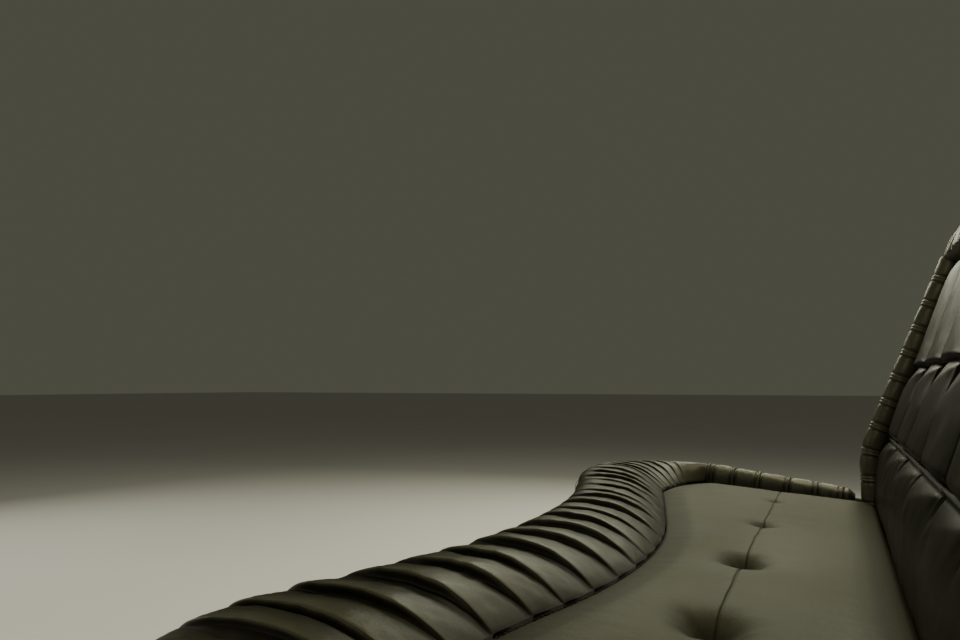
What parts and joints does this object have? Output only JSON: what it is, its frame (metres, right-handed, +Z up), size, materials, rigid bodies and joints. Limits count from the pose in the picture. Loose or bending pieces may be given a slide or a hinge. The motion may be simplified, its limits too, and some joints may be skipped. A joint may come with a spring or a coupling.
{
  "type": "limousine side lounge bench seat",
  "caption": "Long leather lounge bench for a limousine side wall, with a wavy pleated front bolster, buttoned seat panel and leaning channelled backrest with tucked edge rolls.",
  "frame": {"origin": "on the floor, in the middle of the four floor bolts", "axes": "+X along the bench, +Y towards the vehicle's side wall, +Z up"},
  "size_m": [2.31, 0.747, 0.8413],
  "materials": {
    "seat_leather": "semi-gloss smooth leather, pleated and tucked",
    "panel_leather": "matte creased leather",
    "back_leather": "semi-gloss channelled leather",
    "button_leather": "covered button",
    "carpet": "short pile carpet glued to plywood",
    "plywood": "bare plywood",
    "zinc_steel": "zinc plated"
  },
  "bodies": {
    "root": {"back_board": "plywood", "back_boxing_far": "back_leather", "back_boxing_near": "back_leather", "back_cap": "plywood", "back_channels_middle": "back_leather", "back_channels_upper": "back_leather", "back_edge_rolls": "back_leather", "back_gusset_1": "plywood", "back_gusset_2": "plywood", "back_gusset_3": "plywood", "back_gusset_4": "plywood", "back_pad_lower": "back_leather", "back_top_bolster": "back_leather", "back_top_rail": "plywood", "base_rib_1": "plywood", "base_rib_2": "plywood", "base_rib_3": "plywood", "base_rib_4": "plywood", "floor_bracket_1": "zinc_steel", "floor_bracket_2": "zinc_steel", "floor_bracket_3": "zinc_steel", "floor_bracket_4": "zinc_steel", "rear_rail": "plywood", "riser_corner_far": "carpet", "riser_corner_near": "carpet", "riser_end_far": "carpet", "riser_end_near": "carpet", "riser_front": "carpet", "seat_bolster": "seat_leather", "seat_buttons": "button_leather", "seat_deck": "plywood", "seat_end_rolls": "seat_leather", "seat_foam_base": "seat_leather", "seat_panel": "panel_leather"}
  },
  "joints": []
}
